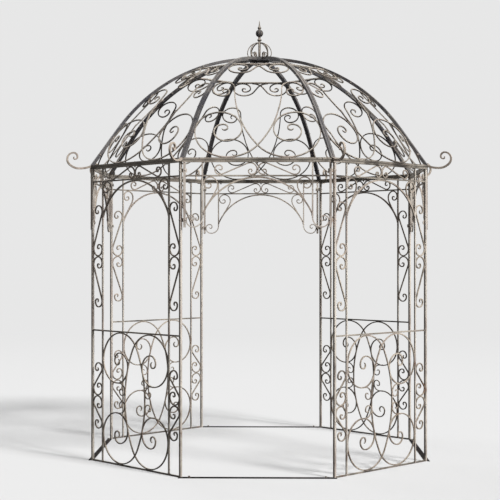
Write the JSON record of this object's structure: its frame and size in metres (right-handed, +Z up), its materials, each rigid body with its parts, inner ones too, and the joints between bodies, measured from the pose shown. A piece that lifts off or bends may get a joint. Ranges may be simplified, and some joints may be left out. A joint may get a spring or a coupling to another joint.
{
  "type": "ornamental wrought-iron garden pavilion",
  "caption": "Octagonal open-frame garden pavilion with scrolled balustrades, arched windows, open doorways and a scrollwork dome with a finial.",
  "frame": {"origin": "middle of the octagonal plan, on the ground under the sill bars", "axes": "+Z up; -Y is the front, through the middle of an open doorway; +X to the right as seen from the front"},
  "size_m": [2.646, 2.646, 3.1265],
  "materials": {
    "worn_iron": "dark brown-black paint worn to pale grey on the lit faces",
    "scroll_iron": "dark brown-black, rubbed and lightly rusted",
    "weathered_rib": "blue-grey weathered paint"
  },
  "bodies": {
    "root": {"front_right_posts": "worn_iron", "front_right_rails": "worn_iron", "front_right_arch": "worn_iron", "front_right_lattice": "scroll_iron", "back_right_posts": "worn_iron", "back_right_rails": "worn_iron", "back_right_arch": "worn_iron", "back_right_lattice": "scroll_iron", "back_left_posts": "worn_iron", "back_left_rails": "worn_iron", "back_left_arch": "worn_iron", "back_left_lattice": "scroll_iron", "front_left_posts": "worn_iron", "front_left_rails": "worn_iron", "front_left_arch": "worn_iron", "front_left_lattice": "scroll_iron", "front_legs": "worn_iron", "front_header_rails": "worn_iron", "front_header_arch": "worn_iron", "front_ribs": "weathered_rib", "right_legs": "worn_iron", "right_header_rails": "worn_iron", "right_header_arch": "worn_iron", "right_ribs": "weathered_rib", "back_legs": "worn_iron", "back_header_rails": "worn_iron", "back_header_arch": "worn_iron", "back_ribs": "weathered_rib", "left_legs": "worn_iron", "left_header_rails": "worn_iron", "left_header_arch": "worn_iron", "left_ribs": "weathered_rib", "front_dome_scrolls": "scroll_iron", "front_right_dome_scrolls": "scroll_iron", "right_dome_scrolls": "scroll_iron", "back_right_dome_scrolls": "scroll_iron", "back_dome_scrolls": "scroll_iron", "back_left_dome_scrolls": "scroll_iron", "left_dome_scrolls": "scroll_iron", "front_left_dome_scrolls": "scroll_iron", "door_sills": "scroll_iron", "dome_base_ring": "worn_iron", "crown_plate": "weathered_rib", "finial": "weathered_rib", "corner_horns": "worn_iron"}
  },
  "joints": []
}
